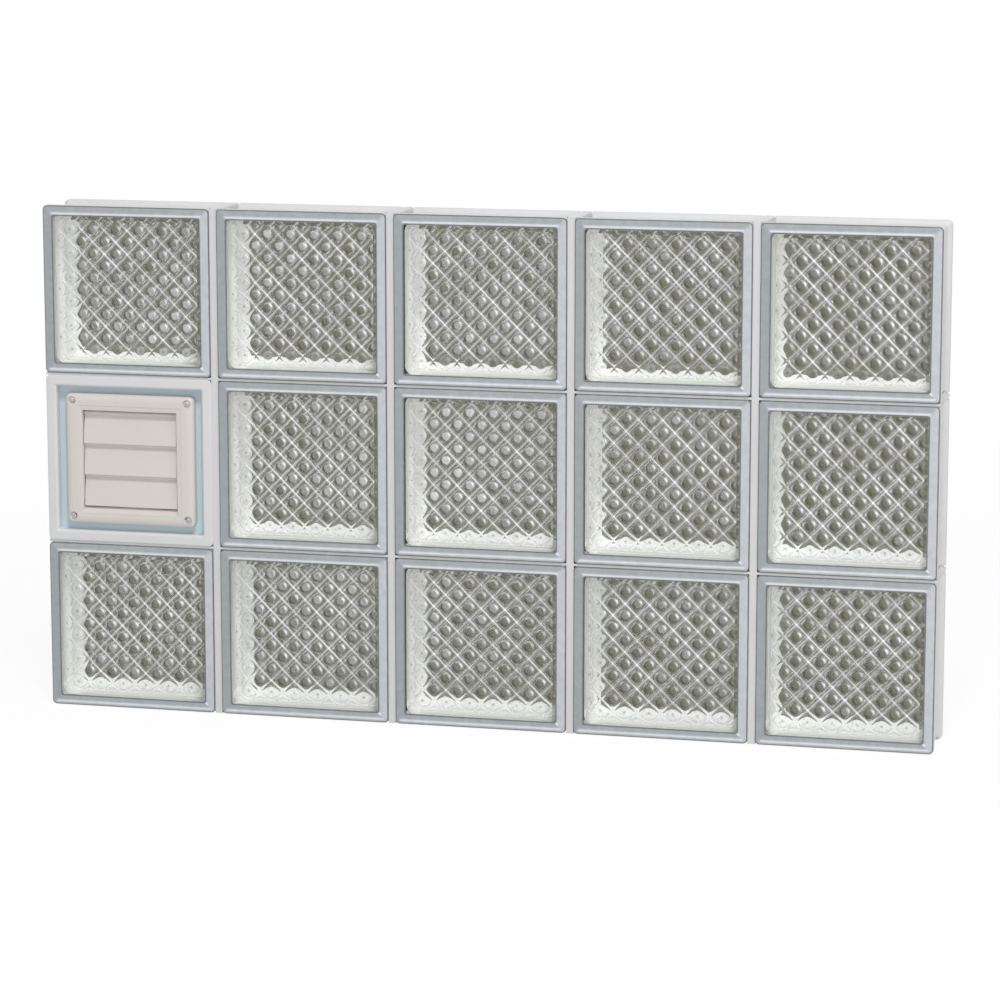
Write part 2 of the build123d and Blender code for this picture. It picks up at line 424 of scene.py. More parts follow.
@dataclass(frozen=True)
class EdgeCoating:
    """The white bonding coat on a block's edges: matt, and mottled by the roller."""

    name: str = "white edge coating"
    colour: str = "#D9D9D8"
    shade: str = "#CFCFD1"
    roughness: float = 0.55
    mottle_mm: float = 9.0

    def material(self) -> bpy.types.Material:
        """Build the coating with a soft mottle of the roller's size.

        Returns:
            The material.
        """
        material, tree = new_material(self.name)
        place = add_node(tree, "ShaderNodeTexCoord").outputs["Object"]
        colours = (self.colour, self.shade)
        shader = add_node(tree, "ShaderNodeBsdfPrincipled", {
            "Base Color": drifting_colour(tree, place, colours, self.mottle_mm * MM, MOTTLE),
            "Roughness": self.roughness, "IOR": GLASS_IOR,
        })
        add_node(tree, "ShaderNodeOutputMaterial", {"Surface": shader.outputs[0]})
        return material


def corner_angles(segments: int) -> np.ndarray:
    """Directions of a rounded rectangle's points: a quarter turn for each of its corners."""
    quarter = np.linspace(0, math.pi / 2, segments + 1)
    return np.concatenate([quarter + turn * math.pi / 2 for turn in range(4)])


def rounded_ring(
    half_x: np.ndarray, half_z: np.ndarray, radius: np.ndarray, segments: int
) -> tuple[np.ndarray, np.ndarray]:
    """Outline one rounded rectangle per row, with the same number of points in each.

    A point on a corner is the corner arc's centre plus the radius times the cosine and
    sine of its angle. Straight sides run from one corner's last point to the next's first.

    Args:
        half_x: Half the width of each row's rectangle.
        half_z: Half the height of each row's rectangle.
        radius: Corner radius of each row's rectangle.
        segments: Number of steps on each corner's arc.

    Returns:
        X and Z of the points, as arrays of rows by points, anticlockwise from the right.
    """
    angle = corner_angles(segments)
    side_x = np.repeat([1, -1, -1, 1], segments + 1)
    side_z = np.repeat([1, 1, -1, -1], segments + 1)
    x = (half_x - radius)[:, None] * side_x + radius[:, None] * np.cos(angle)
    z = (half_z - radius)[:, None] * side_z + radius[:, None] * np.sin(angle)
    return x, z


def strip_quads(rows: int, columns: int, closed_rows: bool = False) -> np.ndarray:
    """Number the quads between neighbouring rows of points whose columns form loops.

    Loops that run anticlockwise seen from -Y, in rows that advance along +Y, get faces
    that look outwards.

    Args:
        rows: Number of rows of points.
        columns: Number of points in a row, where the last joins the first.
        closed_rows: Whether the last row also joins the first.

    Returns:
        An array of quads by four point numbers.
    """
    row = np.arange(rows if closed_rows else rows - 1)[:, None]
    column = np.arange(columns)[None, :]
    after = (row + 1) % rows
    beside = (column + 1) % columns
    corners = (
        row * columns + column, after * columns + column, after * columns + beside, row * columns + beside,
    )
    return np.stack([np.broadcast_to(c, (row.size, columns)) for c in corners], -1).reshape(-1, 4)


@dataclass
class Surface:
    """Points and faces gathered for one mesh, with a finish number for each face."""

    points: list[np.ndarray] = field(default_factory=list)
    faces: list[Sequence[Sequence[int]]] = field(default_factory=list)
    finishes: list[np.ndarray] = field(default_factory=list)
    smooth: list[np.ndarray] = field(default_factory=list)
    count: int = 0

    def add(self, points: np.ndarray, faces: Sequence[Any], finish: int = 0, smooth: bool = True) -> int:
        """Add points, and faces that number those points from 0.

        Args:
            points: Array of points by three.
            faces: Array or list of faces, numbered within these points.
            finish: Number of the finish that the faces get.
            smooth: Whether the faces are shaded smooth.

        Returns:
            The number of the first added point in the whole mesh.
        """
        first = self.count
        self.points.append(np.asarray(points, float).reshape(-1, 3))
        self.count += len(self.points[-1])
        self.add_faces([np.asarray(face) + first for face in faces], finish, smooth)
        return first

    def add_faces(self, faces: Sequence[Any], finish: int = 0, smooth: bool = True) -> None:
        """Add faces that number points of the whole mesh.

        Args:
            faces: Array or list of faces, numbered within the whole mesh.
            finish: Number of the finish that the faces get.
            smooth: Whether the faces are shaded smooth.
        """
        self.faces.append([np.asarray(face).tolist() for face in faces])
        self.finishes.append(np.full(len(faces), finish))
        self.smooth.append(np.full(len(faces), smooth))

    def build(self, name: str, finishes: Sequence[bpy.types.Material]) -> bpy.types.Object:
        """Make the mesh object, at the origin, with its place in its points.

        Args:
            name: The piece's name.
            finishes: The materials that the finish numbers stand for.

        Returns:
            The object, linked to the scene.
        """
        mesh = bpy.data.meshes.new(name)
        faces = [face for group in self.faces for face in group]
        mesh.from_pydata(np.concatenate(self.points).tolist(), [], faces)
        for material in finishes:
            mesh.materials.append(material)
        mesh.polygons.foreach_set("material_index", np.concatenate(self.finishes).astype(np.int32))
        mesh.polygons.foreach_set("use_smooth", np.concatenate(self.smooth))
        mesh.update()
        piece = bpy.data.objects.new(name, mesh)
        bpy.context.scene.collection.objects.link(piece)
        return piece


@dataclass
class CellForm:
    """The outer form that the glass blocks and the vent's frame share."""

    flange: float = 10.0 * MM
    channel: float = 4.0 * MM
    slope: float = 4.0 * MM
    ease: float = 0.4 * MM
    corner: float = 5.0 * MM
    edge: float = 1.5 * MM
    edge_steps: int = 4
    seam_height: float = 0.5 * MM
    seam_width: float = 3.0 * MM
    seam_top: float = 1.2 * MM
    corner_steps: int = 6

    def profile(self, half_depth: float) -> tuple[np.ndarray, np.ndarray]:
        """Section of the rim from the outdoor face round to the indoor one.

        The edge is a quarter circle, then come the flange, the sloped side of the channel,
        and the web with the low seam where the two pressed halves were fused. The indoor
        half is the outdoor half turned round.

        Args:
            half_depth: Half the thickness of the cell.

        Returns:
            How far each row lies inside the outline, and its place along Y.
        """
        turn, ease = np.linspace(0, math.pi / 2, self.edge_steps + 1), self.ease
        inset = np.concatenate([
            self.edge * (1 - np.sin(turn)),
            [0.0, ease, self.channel - ease, self.channel, self.channel, self.channel - self.seam_height],
        ])
        depth = np.concatenate([
            half_depth - self.edge * (1 - np.cos(turn)),
            half_depth - self.flange + np.array([ease, -ease, ease - self.slope, -ease - self.slope]),
            [self.seam_width / 2, self.seam_top / 2],
        ])
        return np.concatenate([inset, inset[::-1]]), np.concatenate([-depth, depth[::-1]])

    def rings(
        self, box: tuple[np.ndarray, np.ndarray], inset: np.ndarray, depth: np.ndarray, least: float
    ) -> np.ndarray:
        """Carry a section round a cell's outline.

        Args:
            box: The cell's lowest and highest corners.
            inset: How far each row lies inside the outline.
            depth: Place of each row along Y, from the middle of the thickness.
            least: Least corner radius of a row.

        Returns:
            Points as rows along the section by points round the outline by three.
        """
        low, high = box
        half, middle = (high - low) / 2, (high + low) / 2
        radius = np.maximum(self.corner - inset, least)
        x, z = rounded_ring(half[0] - inset, half[2] - inset, radius, self.corner_steps)
        y = np.broadcast_to(depth[:, None], x.shape)
        return np.stack([x + middle[0], y + middle[1], z + middle[2]], -1)


@dataclass
class DiamondPattern:
    """The pressed pattern: a lattice of ridges with a round lens in each diamond.

    The lattice has two families of parallel lines at 45 degrees, falling and rising to
    the right. The grid that carries it has a step that divides the pitch, so that lines
    run through its points. The values from calm on set the painted light and shade of
    each part.
    """

    pitch: float = 26.4 * MM
    ridge_height: float = 0.5 * MM
    ridge_width: float = 0.8 * MM
    lens_height: float = 0.42 * MM
    lens_radius: float = 5.3 * MM
    ring_width: float = 1.3 * MM
    crown: float = 1.5 * MM
    steps: int = 18
    least_step: float = 0.3
    fade: float = 1.5 * MM
    # From calm to full the painted light and shade grow to their whole strength, away from the left and
    # lower walls.
    calm: float = 11.0 * MM
    full: float = 19.0 * MM
    # Painted light and shade: shade to the lower left of a lens ring and a highlight opposite, highlights on
    # the folds, dark dots at the crowns.
    lower_left: tuple[float, float] = (0.85, 0.53)
    crescent_shade: float = 1.25
    glint: float = 1.2
    glint_power: int = 4
    ring_least: float = 0.1
    falling_fold: float = 0.95
    falling_least: float = 0.4
    rising_fold: float = 0.5
    dot: float = 0.75

    def lines(self, half: float) -> np.ndarray:
        """Places of the grid's lines: whole numbers of steps from the middle, and both ends.

        Args:
            half: Half the width of the grid.

        Returns:
            The places, from the lowest up.
        """
        step = self.pitch / self.steps
        count = int((half - self.least_step * step) / step)
        return np.concatenate([[-half], np.arange(-count, count + 1) * step, [half]])

    def across(self, x: np.ndarray, z: np.ndarray) -> tuple[np.ndarray, np.ndarray]:
        """Places across the falling and the rising lines, with a diamond's middle at 0.

        Each is the distance along that diagonal, less its nearest whole number of line
        spacings, where the spacing is the pitch over the root of two.

        Args:
            x: Distance right of the pane's middle, seen from outside the block.
            z: Distance above the pane's middle.

        Returns:
            Distance from the diamond's middle across the falling lines, and across the rising ones.
        """
        spacing = self.pitch / math.sqrt(2)
        falling = (x + z) / math.sqrt(2) / spacing
        rising = (x - z) / math.sqrt(2) / spacing
        return (falling - np.round(falling)) * spacing, (rising - np.round(rising)) * spacing

    def ridge(self, place: np.ndarray) -> np.ndarray:
        """A bell curve of the distance to the line, which lies half a spacing from the middle."""
        to_line = self.pitch / math.sqrt(8) - np.abs(place)
        return np.exp(-(to_line / self.ridge_width) ** 2)

    def heights(self, x: np.ndarray, z: np.ndarray, room: np.ndarray) -> np.ndarray:
        """Height of the pattern above the pane's inner face.

        It is the higher of the two ridges, plus a dome of the distance to the diamond's
        middle that falls to nothing at the lens's radius.

        Args:
            x: Distance right of the pane's middle, seen from outside the block.
            z: Distance above the pane's middle.
            room: Distance to the pane's border, where the pattern fades out.

        Returns:
            The height at each point.
        """
        falling, rising = self.across(x, z)
        ridges = np.maximum(self.ridge(falling), self.ridge(rising))
        lens = np.clip(1 - (falling ** 2 + rising ** 2) / self.lens_radius ** 2, 0, None)
        return (self.ridge_height * ridges + self.lens_height * lens) * np.clip(room / self.fade, 0, 1)

    def relief(self, x: np.ndarray, z: np.ndarray, half: np.ndarray) -> np.ndarray:
        """The painted light and shade of the pattern: above 0 on folds, and below it on steep slopes.

        Falling ridges get strong painted highlights and rising ones weak. A lens has a ring
        near its border, a bell curve of the distance to it, with painted shade to the lower
        left and a painted highlight, by a power of the same share, to the upper right. By the
        left and lower walls the painted light and shade are weak: they rise from the calm
        distance to the full one by three squares less two cubes of the share, and short of
        that a small painted dark dot, a bell curve too, shows at each lens's crown.

        Args:
            x: Distance right of the pane's middle, seen from outside the block.
            z: Distance above the pane's middle.
            half: Half the width and height of the pane's flat window.

        Returns:
            The relief at each point.
        """
        # Share of the whole painted light and shade, low by the left and lower walls; the glass's heights
        # are not changed.
        share = (np.minimum(x + half[0], z + half[1]) - self.calm) / (self.full - self.calm)
        share = np.clip(share, 0, 1)
        # depth here is the strength of the painted light and shade, not a depth of the pressing.
        depth = share ** 2 * (3 - 2 * share)
        falling, rising = self.across(x, z)
        radius = np.hypot(falling, rising)
        ring = np.exp(-((radius - self.lens_radius + self.ring_width / 2) / self.ring_width) ** 2)
        left = -(falling + rising) / np.maximum(radius, MM) / math.sqrt(2)
        low = (rising - falling) / np.maximum(radius, MM) / math.sqrt(2)
        away = self.lower_left[0] * left + self.lower_left[1] * low
        # Painted shade to the lower left of each ring, and a painted highlight to the upper right.
        dark, bright = np.clip(away, 0, 1), np.clip(-away, 0, 1) ** self.glint_power
        rings = (self.ring_least + (1 - self.ring_least) * depth) * ring
        rings = rings * (self.glint * bright - self.crescent_shade * dark)
        falling_share = self.falling_least + (1 - self.falling_least) * depth
        # Painted highlights on the folds: strong on falling ridges, weak on rising ones.
        folds = self.falling_fold * falling_share * self.ridge(falling)
        folds = folds + self.rising_fold * depth * self.ridge(rising)
        # Painted dark dot at each lens's crown by the left and lower walls.
        painted_dark_dots = self.dot * (1 - depth) * np.exp(-(radius / self.crown) ** 2)
        return folds + rings - painted_dark_dots

    def falling_first(self, x: np.ndarray, z: np.ndarray) -> np.ndarray:
        """Whether the falling family's nearest line is nearer than the rising family's."""
        falling, rising = self.across(x, z)
        return np.abs(falling) > np.abs(rising)


@dataclass
class RimShade:
    """The greys of a block's rim, as tones: plain, painted pale highlight bands above and below, a painted
    bright corner.
    """

    plain: float = 0.51
    # Painted highlight: the pale bands above and below.
    band: float = 0.38
    band_top: float = 8.8 * MM
    band_bottom: float = 4.2 * MM
    band_width: float = 1.3 * MM
    band_power: int = 4
    # Painted light: the right side paler and the left darker.
    painted_side_tilt: float = 0.06
    right: float = 0.1
    # Painted highlight in the lower right corner.
    corner_highlight: float = 0.6
    spot_inset: float = 9.0 * MM
    spot_power: int = 6
    # Painted shade at the bevel's foot and on the rounded outer edge.
    edge: float = 0.12

    def tone(self, inset: np.ndarray, angle: np.ndarray, side: np.ndarray) -> np.ndarray:
        """Work out the tone from the place on the rim and the outline's direction there.

        A painted highlight band is a bell curve of the distance to its line, times a power of
        the direction's height share. The corner's painted highlight is a bell curve too, times a
        power of how near the direction is to the lower right: twice the right share times the
        low share. The right side is painted paler than the left one, as painted light.

        Args:
            inset: How far each row lies inside the outline.
            angle: Direction of the outline at each point, anticlockwise from the right.
            side: The sign of each row's place along Y.

        Returns:
            The tone of each point, as rows by points.
        """
        line = np.where(np.sin(angle) > 0, self.band_top, self.band_bottom)
        band = np.exp(-((inset - line) / self.band_width) ** 2) * np.sin(angle) ** self.band_power
        right = -np.cos(angle) * side
        corner = 2 * np.clip(right, 0, 1) * np.clip(-np.sin(angle), 0, 1)
        corner_highlight = np.exp(-((inset - self.spot_inset) / self.band_width) ** 2) * corner ** self.spot_power
        painted_side_light = self.painted_side_tilt * right + self.right * np.clip(right, 0, 1)
        return self.plain + self.band * band + painted_side_light + self.corner_highlight * corner_highlight


@dataclass
class GlassBlocks:
    """All the glass blocks: each a hollow pressed body with coated outer edges."""

    form: CellForm = field(default_factory=CellForm)
    pattern: DiamondPattern = field(default_factory=DiamondPattern)
    pane: float = 8.0 * MM
    wall: float = 6.0 * MM
    draft: float = 0.4 * MM
    fillet: float = 5.5 * MM
    pane_corner: float = 3.0 * MM
    fillet_steps: int = 5
    rim: float = 11.5 * MM
    bevel: float = 0.8 * MM
    hair: float = 0.1 * MM
    window_drop: float = 0.6 * MM
    rim_rows: int = 9
    rim_shade: RimShade = field(default_factory=RimShade)
    glass_finish: PressedGlass = PressedGlass()
    coating_finish: EdgeCoating = EdgeCoating()
    rim_finish: RimGlass = RimGlass()
    wall_finish: CoatedWall = CoatedWall()
    face_finish: PressedGlass = PressedGlass(
        "fire polished glass face", near_tone=1.0, near_gain=0.0, far_tone=1.0, far_gain=0.0, wave_share=0.06
    )

    def nodes(self) -> list[str]:
        """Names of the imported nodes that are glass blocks."""
        return sorted(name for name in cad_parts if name.startswith("glass_block"))

    def pane_grid(self, half: np.ndarray) -> tuple[np.ndarray, np.ndarray, np.ndarray, np.ndarray]:
        """Lay a grid over the pane, with its square corners drawn in to round ones.

        Within a corner's radius of both sides, a point's two shares of that radius, p and q,
        become p times the root of one less half q squared, and the same the other way round.
        That carries the square's border to a quarter circle.

        Args:
            half: Half the width and height of the pane's flat window.

        Returns:
            X and Z of the grid, and the outward direction's X and Z, which are true on the border.
        """
        corner = self.pane_corner
        x, z = np.meshgrid(self.pattern.lines(half[0]), self.pattern.lines(half[1]), indexing="ij")
        share_x = np.clip((np.abs(x) - half[0] + corner) / corner, 0, 1)
        share_z = np.clip((np.abs(z) - half[1] + corner) / corner, 0, 1)
        round_x = share_x * np.sqrt(1 - share_z ** 2 / 2)
        round_z = share_z * np.sqrt(1 - share_x ** 2 / 2)
        new_x = np.where(share_x > 0, np.sign(x) * (half[0] - corner + corner * round_x), x)
        new_z = np.where(share_z > 0, np.sign(z) * (half[1] - corner + corner * round_z), z)
        return new_x, new_z, np.sign(x) * round_x, np.sign(z) * round_z

    def border(self, shape: tuple[int, int]) -> np.ndarray:
        """Numbers of the grid's border points, in order round it from its first corner."""
        number = np.arange(shape[0] * shape[1]).reshape(shape)
        return np.concatenate([number[:-1, 0], number[-1, :-1], number[:0:-1, -1], number[0, :0:-1]])

    def pane_triangles(self, x: np.ndarray, z: np.ndarray) -> np.ndarray:
        """Split each cell of the grid along the lattice line that is nearest to it.

        Args:
            x: X of the grid.
            z: Z of the grid.

        Returns:
            Triangles as point numbers, with their faces towards +Y for a grid in X and Z.
        """
        number = np.arange(x.size).reshape(x.shape)
        a, b, c, d = number[:-1, :-1], number[1:, :-1], number[1:, 1:], number[:-1, 1:]
        middle_x = (x[:-1, :-1] + x[1:, 1:]) / 2
        middle_z = (z[:-1, :-1] + z[1:, 1:]) / 2
        falling = self.pattern.falling_first(middle_x, middle_z)[..., None]
        first = np.where(falling, np.stack([a, d, b], -1), np.stack([a, c, b], -1))
        second = np.where(falling, np.stack([b, d, c], -1), np.stack([a, d, c], -1))
        return np.concatenate([first.reshape(-1, 3), second.reshape(-1, 3)])

    def hollow(self, surface: Surface, box: tuple[np.ndarray, np.ndarray]) -> np.ndarray:
        """Add the skin of the sealed hollow: two pressed faces and the walls between.

        The walls leave each pressed face by a quarter circle, widen by the mould's draft to
        mid depth, and carry the low bead where the halves were fused. The indoor face is
        the outdoor one turned about the vertical.

        Args:
            surface: The mesh being gathered.
            box: The block's lowest and highest corners.

        Returns:
            The relief of each added point.
        """
        low, high = box
        half, middle = (high - low) / 2, (high + low) / 2
        window = np.array([half[0], half[2]]) - self.form.channel - self.wall - self.draft - self.fillet
        x, z, out_x, out_z = self.pane_grid(window)
        room = np.minimum(window[0] - np.abs(x), window[1] - np.abs(z))
        reach = half[1] - self.pane
        border = self.border(x.shape)
        tones, starts = [], {}
        for face in Face:
            seen_x = -face.value * x
            y = face.value * (reach - self.pattern.heights(seen_x, z, room))
            points = np.stack([x + middle[0], y + middle[1], z + middle[2]], -1)
            triangles = self.pane_triangles(x, z)[:, ::-face.value]
            starts[face] = surface.add(points.reshape(-1, 3), triangles, Skin.PRESSED)
            tones.append(self.pattern.relief(seen_x, z, window).ravel())
        turn = np.linspace(0, math.pi / 2, self.fillet_steps + 1)[1:]
        widest = self.fillet + self.draft
        out = np.concatenate([self.fillet * np.sin(turn), [widest, widest - self.form.seam_height]])
        depth = np.concatenate([
            reach - self.fillet * (1 - np.cos(turn)), [self.form.seam_width / 2, self.form.seam_top / 2],
        ])
        out = np.concatenate([out, out[::-1]])[:, None]
        depth = np.concatenate([-depth, depth[::-1]])[:, None]
        ring_x = x.ravel()[border] + out * out_x.ravel()[border]
        ring_z = z.ravel()[border] + out * out_z.ravel()[border]
        ring_y = np.broadcast_to(depth, ring_x.shape)
        ring = np.stack([ring_x + middle[0], ring_y + middle[1], ring_z + middle[2]], -1)
        first = surface.add(ring.reshape(-1, 3), strip_quads(len(out), border.size)[:, ::-1], Skin.WALL)
        tones.append(np.zeros(ring[..., 0].size))
        self.join(surface, starts[Face.OUTDOOR] + border, first + np.arange(border.size))
        last = first + (len(out) - 1) * border.size
        self.join(surface, last + np.arange(border.size), starts[Face.INDOOR] + border)
        return np.concatenate(tones)

    def join(self, surface: Surface, one: np.ndarray, other: np.ndarray) -> None:
        """Close the gap between two loops of points with quads that face the hollow."""
        quads = np.stack([one, np.roll(one, -1), np.roll(other, -1), other], -1)
        surface.add_faces(quads, Skin.WALL)

    def rim_tone(self, inset: np.ndarray, depth: np.ndarray) -> np.ndarray:
        """Tone of the rim, with painted shade at the bevel's foot and on the rounded outer edge.

        Args:
            inset: How far each row lies inside the outline.
            depth: Place of each row along Y, from the middle of the thickness.

        Returns:
            The tone of each point, as rows by points.
        """
        angle = corner_angles(self.form.corner_steps)[None, :]
        tone = self.rim_shade.tone(inset[:, None], angle, np.sign(depth)[:, None])
        # Painted shade at the bevel's foot and on the rounded outer edge.
        dark = (inset > self.rim - self.bevel - self.hair) | (inset < self.form.edge - self.hair)
        return np.where(dark[:, None], self.rim_shade.edge, tone)

    def shell(self, surface: Surface, box: tuple[np.ndarray, np.ndarray]) -> np.ndarray:
        """Add the outer skin: two clear windows, their rims, and the coated edges.

        Its rows run from the sunken window up the bevel, across the rim and round the cell's
        section to the other rim and its window. A flat face closes each end.

        Args:
            surface: The mesh being gathered.
            box: The block's lowest and highest corners.

        Returns:
            The tone of each added point.
        """
        half_depth = (box[1][1] - box[0][1]) / 2
        inset, depth = self.form.profile(half_depth)
        rim = np.linspace(self.rim - self.bevel, self.form.edge + self.bevel, self.rim_rows)
        rim = np.concatenate([[self.rim + self.hair, self.rim], rim])
        face = np.full(rim.size, half_depth)
        face[:2] -= self.window_drop
        inset = np.concatenate([rim, inset, rim[::-1]])
        depth = np.concatenate([-face, depth, face[::-1]])
        rings = self.form.rings(box, inset, depth, self.pane_corner)
        rows, columns = rings.shape[:2]
        quads = strip_quads(rows, columns)
        row = np.arange(len(quads)) // columns
        row = np.minimum(row, rows - 2 - row)
        coated = row >= rim.size + self.form.edge_steps
        surface.add(rings, quads[row == 0], Skin.WINDOW)
        surface.add_faces(quads[(row > 0) & ~coated], Skin.RIM)
        surface.add_faces(quads[coated], Skin.COATING)
        caps = [np.arange(columns), ((rows - 1) * columns + np.arange(columns))[::-1]]
        surface.add_faces(caps, Skin.WINDOW, smooth=False)
        return self.rim_tone(inset, depth).ravel()

    def block(self, node: str, finishes: Sequence[bpy.types.Material]) -> bpy.types.Object:
        """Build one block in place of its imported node.

        Args:
            node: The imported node's name.
            finishes: The materials, in the order of the skin's finishes.

        Returns:
            The block's object.
        """
        low, high = (np.array(corner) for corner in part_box(node))
        surface = Surface()
        tone = np.concatenate([self.shell(surface, (low, high)), self.hollow(surface, (low, high))])
        piece = surface.build(f"{node}_pressed", finishes)
        attribute = piece.data.attributes.new("tone", "FLOAT", "POINT")
        attribute.data.foreach_set("value", tone.astype(np.float32))
        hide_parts(node)
        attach(piece, "window")
        return piece

    def build(self) -> None:
        """Build every block and report it."""
        kinds = {
            Skin.PRESSED: self.glass_finish, Skin.COATING: self.coating_finish, Skin.RIM: self.rim_finish,
            Skin.WALL: self.wall_finish, Skin.WINDOW: self.face_finish,
        }
        finishes = [kinds[skin].material() for skin in Skin]
        for node in self.nodes():
            piece = self.block(node, finishes)
            LOG.info("%s: %d faces", piece.name, len(piece.data.polygons))


def dress_node(node: str, material: bpy.types.Material) -> None:
    """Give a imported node's own object that material in every slot."""
    for slot in bpy.data.objects[node].material_slots:
        slot.material = material


@dataclass
class Seals:
    """The silicone in the joints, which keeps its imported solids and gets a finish."""

    finish: MouldedPlastic = MouldedPlastic("cured silicone", "#D6D5D4", "#CBCBCC", roughness=0.5, bump=0.1)

    def build(self) -> None:
        """Give each seal the silicone finish."""
        material = self.finish.material()
        for node in sorted(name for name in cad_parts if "seal" in name):
            dress_node(node, material)
            LOG.info("%s dressed", node)


@dataclass(frozen=True)
class SheetMetal:
    """Bare metal, rolled or plated: bright, with fine marks that break up its gloss."""

    name: str
    colour: str
    low: float = 0.25
    high: float = 0.42
    mark_mm: float = 2.0

    def material(self) -> bpy.types.Material:
        """Build the metal with its gloss varied by the marks.

        Returns:
            The material.
        """
        material, tree = new_material(self.name)
        place = add_node(tree, "ShaderNodeTexCoord")
        marks = add_node(tree, "ShaderNodeTexNoise", {
            "Vector": place.outputs["Object"], "Scale": 1 / (self.mark_mm * MM), "Detail": CLOUD,
        })
        sheen = add_node(tree, "ShaderNodeMapRange", {
            "Value": marks.outputs["Fac"], "To Min": self.low, "To Max": self.high,
        })
        shader = add_node(tree, "ShaderNodeBsdfPrincipled", {
            "Base Color": linear(self.colour), "Metallic": 1.0, "Roughness": sheen.outputs["Result"],
        })
        add_node(tree, "ShaderNodeOutputMaterial", {"Surface": shader.outputs[0]})
        return material


def turned(section: np.ndarray, place: Sequence[float], segments: int) -> tuple[np.ndarray, list[list[int]]]:
    """Turn a section round a line along Y, and close both ends with a flat face.

    A point is the place plus the section's radius times the cosine and sine of its angle.

    Args:
        section: Rows of radius and distance along Y, in rows that advance along +Y.
        place: The point on the line that distances are counted from.
        segments: Number of steps round the line.

    Returns:
        The points, and the faces that number them.
    """
    angle = np.arange(segments) * 2 * math.pi / segments
    x = section[:, :1] * np.cos(angle)
    z = section[:, :1] * np.sin(angle)
    y = np.broadcast_to(section[:, 1:], x.shape)
    points = (np.stack([x, y, z], -1) + np.asarray(place)).reshape(-1, 3)
    ends = [np.arange(segments), len(points) - 1 - np.arange(segments)]
    faces = strip_quads(len(section), segments).tolist() + [end.tolist() for end in ends]
    return points, faces


def finish_edges(piece: bpy.types.Object, degrees: float = CREASE_DEGREES) -> None:
    """Keep edges sharper than this angle crisp, so that flat faces stay flat."""
    piece.data.set_sharp_from_angle(angle=math.radians(degrees))


def carve(piece: bpy.types.Object, cutter: bpy.types.Object) -> None:
    """Cut one closed mesh out of another, and throw the cutter away.

    Args:
        piece: The mesh that is cut.
        cutter: Closed shells that are taken out of it.
    """
    cut = piece.modifiers.new("cut", "BOOLEAN")
    cut.operation, cut.solver, cut.object = "DIFFERENCE", "EXACT", cutter
    ready = piece.evaluated_get(bpy.context.evaluated_depsgraph_get())
    mesh = bpy.data.meshes.new_from_object(ready)
    piece.modifiers.clear()
    piece.data = mesh
    bpy.data.meshes.remove(cutter.data)


